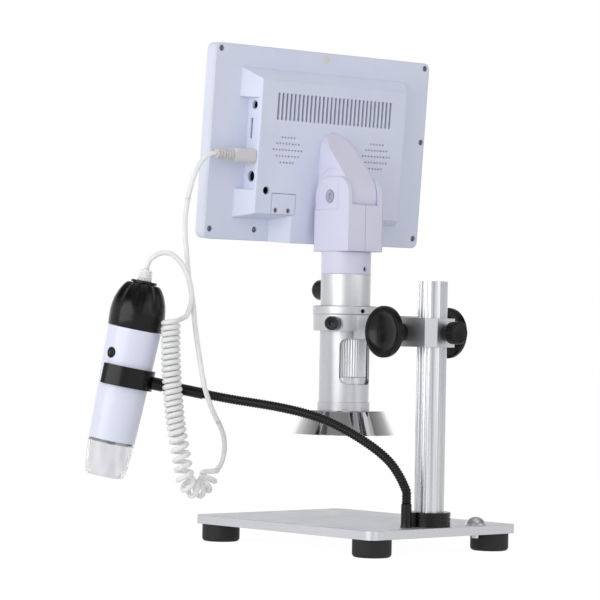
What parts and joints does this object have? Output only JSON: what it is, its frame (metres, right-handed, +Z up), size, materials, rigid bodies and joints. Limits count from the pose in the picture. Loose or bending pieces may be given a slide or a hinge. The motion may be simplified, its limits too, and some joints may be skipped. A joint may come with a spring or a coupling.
{
  "type": "digital microscope with screen on a rack stand and handheld microscope on a gooseneck",
  "caption": "Bench digital microscope with its own tilting screen on a rack-and-pinion stand, and a handheld lit microscope held on a gooseneck, joined by a curly lead.",
  "frame": {"origin": "on the table, under the middle of the base plate", "axes": "+Z up; -Y is the user's side, where the screen faces; +X is the user's right, where the handheld hangs"},
  "size_m": [0.2802, 0.1873, 0.3426],
  "materials": {
    "plate_aluminium": "satin, fine grain",
    "post_aluminium": "drawn, satin",
    "tube_aluminium": "satin anodised",
    "dial_aluminium": "bright turned",
    "chrome": "mirror polished",
    "steel": "plain",
    "brass": "plain bearing",
    "foot_rubber": "matt",
    "black_gloss": "glossy",
    "black_matt": "matt",
    "case_white": "fine satin",
    "yoke_white": "satin",
    "frame_white": "satin",
    "hand_white": "glossy",
    "lead_white": "satin cable jacket",
    "plug_grey": "satin",
    "screen_glass": "dark glossy panel",
    "clear_plastic": "clear moulded",
    "lens_glass": "polished",
    "board_green": "circuit board",
    "lamp_white": "lamp bodies on a white board",
    "key_grey": "satin"
  },
  "bodies": {
    "stand": {"base_plate": "plate_aluminium", "feet": "foot_rubber", "foot_screws": "steel", "post": "post_aluminium", "rack": "steel", "post_collar": "black_matt", "post_bolt": "steel", "dome_screw": "chrome", "gooseneck_socket": "black_matt", "gooseneck": "black_matt", "lead_drop": "lead_white"},
    "carriage": {"carriage": "tube_aluminium", "shaft_bushes": "brass"},
    "focus": {"pinion_shaft": "steel", "focus_knob_right": "black_gloss", "focus_knob_left": "black_gloss"},
    "lock": {"lock_knob": "black_gloss"},
    "ring_clamp": {"ring_clamp_screw": "black_gloss"},
    "scope": {"tube": "tube_aluminium", "stop_band": "tube_aluminium", "set_screws": "black_matt", "sensor_board": "board_green", "lamp_skirt": "chrome", "lamp_ring": "lamp_white", "dimmer": "black_matt", "neck_collar": "yoke_white", "yoke_left": "yoke_white", "yoke_right": "yoke_white", "hinge_bolt": "steel"},
    "dial": {"magnification_dial": "dial_aluminium"},
    "lens": {"lens_cell": "black_matt", "objective_lens": "lens_glass"},
    "dimmer_control": {"dimmer_knob": "black_gloss"},
    "screen": {"screen_arm": "yoke_white", "back_cover": "case_white", "front_frame": "frame_white", "screen_panel": "screen_glass", "main_board": "board_green", "key_board": "board_green", "speakers": "black_matt", "battery_hatch": "case_white", "case_screw_set": "steel", "usb_plug": "plug_grey"},
    "holder": {"hand_clip": "black_gloss", "lead_coil": "lead_white", "lead_loop": "lead_white"},
    "handheld": {"hand_body": "hand_white", "hand_nozzle": "clear_plastic", "hand_lens": "black_matt", "hand_lamps": "lamp_white", "hand_board": "board_green", "hand_core": "black_gloss"},
    "hand_focus": {"hand_wheel": "black_gloss"},
    "hand_shutter": {"hand_button": "black_matt"},
    "key_1": {"key_1": "key_grey"},
    "key_2": {"key_2": "key_grey"},
    "key_3": {"key_3": "key_grey"},
    "key_4": {"key_4": "key_grey"},
    "key_5": {"key_5": "key_grey"},
    "key_6": {"key_6": "key_grey"}
  },
  "joints": [
    {"name": "carriage_slide", "type": "slide", "parent": "stand", "child": "carriage", "axis": [0, 0, 1], "range_m": [-0.05, 0.018], "deforming": ["lead_drop"]},
    {"name": "focus_turn", "type": "hinge", "parent": "carriage", "child": "focus", "pos_m": [0, 0.0572, 0.14715], "axis": [1, 0, 0], "range_deg": [-216, 598]},
    {"name": "lock_turn", "type": "hinge", "parent": "carriage", "child": "lock", "pos_m": [0, 0.0922, 0.14715], "axis": [0, 1, 0], "range_deg": [-180, 180]},
    {"name": "ring_clamp_turn", "type": "hinge", "parent": "carriage", "child": "ring_clamp", "pos_m": [0.02425, 0.0012, 0.15235], "axis": [0.866, 0.5, 0], "range_deg": [-180, 180]},
    {"name": "scope_turn", "type": "hinge", "parent": "carriage", "child": "scope", "pos_m": [0, -0.0128, 0.152], "axis": [0, 0, 1], "range_deg": [-60, 60], "deforming": ["lead_drop"]},
    {"name": "magnification_turn", "type": "hinge", "parent": "scope", "child": "dial", "pos_m": [0, -0.0128, 0.126], "axis": [0, 0, 1], "range_deg": [-75, 75]},
    {"name": "lens_slide", "type": "slide", "parent": "scope", "child": "lens", "axis": [0, 0, 1], "range_m": [-0.003, 0.003]},
    {"name": "dimmer_turn", "type": "hinge", "parent": "scope", "child": "dimmer_control", "pos_m": [-0.0021, -0.04072, 0.1757], "axis": [-0.075, -0.9972, 0], "range_deg": [0, 270]},
    {"name": "screen_tilt", "type": "hinge", "parent": "scope", "child": "screen", "pos_m": [-0.00011, -0.0143, 0.24], "axis": [-0.9972, 0.075, 0], "range_deg": [-5, 60], "deforming": ["lead_drop"]},
    {"name": "key_1_press", "type": "slide", "parent": "screen", "child": "key_1", "axis": [0.0747, 0.9938, -0.0819], "range_m": [0, 0.0008], "stiffness_N_per_m": 1200},
    {"name": "key_2_press", "type": "slide", "parent": "screen", "child": "key_2", "axis": [0.0747, 0.9938, -0.0819], "range_m": [0, 0.0008], "stiffness_N_per_m": 1200},
    {"name": "key_3_press", "type": "slide", "parent": "screen", "child": "key_3", "axis": [0.0747, 0.9938, -0.0819], "range_m": [0, 0.0008], "stiffness_N_per_m": 1200},
    {"name": "key_4_press", "type": "slide", "parent": "screen", "child": "key_4", "axis": [0.0747, 0.9938, -0.0819], "range_m": [0, 0.0008], "stiffness_N_per_m": 1200},
    {"name": "key_5_press", "type": "slide", "parent": "screen", "child": "key_5", "axis": [0.0747, 0.9938, -0.0819], "range_m": [0, 0.0008], "stiffness_N_per_m": 1200},
    {"name": "key_6_press", "type": "slide", "parent": "screen", "child": "key_6", "axis": [0.0747, 0.9938, -0.0819], "range_m": [0, 0.0008], "stiffness_N_per_m": 1200},
    {"name": "gooseneck_bend", "type": "hinge", "parent": "stand", "child": "holder", "pos_m": [0.06588, 0.03208, 0.089], "axis": [0.682, 0.7314, 0], "range_deg": [-10, 10], "deforming": ["gooseneck", "lead_drop"]},
    {"name": "handheld_turn", "type": "hinge", "parent": "holder", "child": "handheld", "pos_m": [0.15957, -0.05528, 0.1145], "axis": [-0.1333, 0.1243, 0.9833], "range_deg": [-90, 90], "deforming": ["lead_loop"]},
    {"name": "hand_focus_turn", "type": "hinge", "parent": "handheld", "child": "hand_focus", "pos_m": [0.1529, -0.04907, 0.16366], "axis": [-0.1333, 0.1243, 0.9833], "range_deg": [-150, 150]},
    {"name": "hand_shutter_press", "type": "slide", "parent": "handheld", "child": "hand_shutter", "axis": [-0.9826, -0.1464, -0.1147], "range_m": [0, 0.0008], "stiffness_N_per_m": 1200}
  ],
  "couplings": [
    {"joint": "focus_turn", "follows": "carriage_slide", "rad_per_m": -208.33},
    {"joint": "magnification_turn", "follows": "lens_slide", "rad_per_m": 434.78}
  ]
}
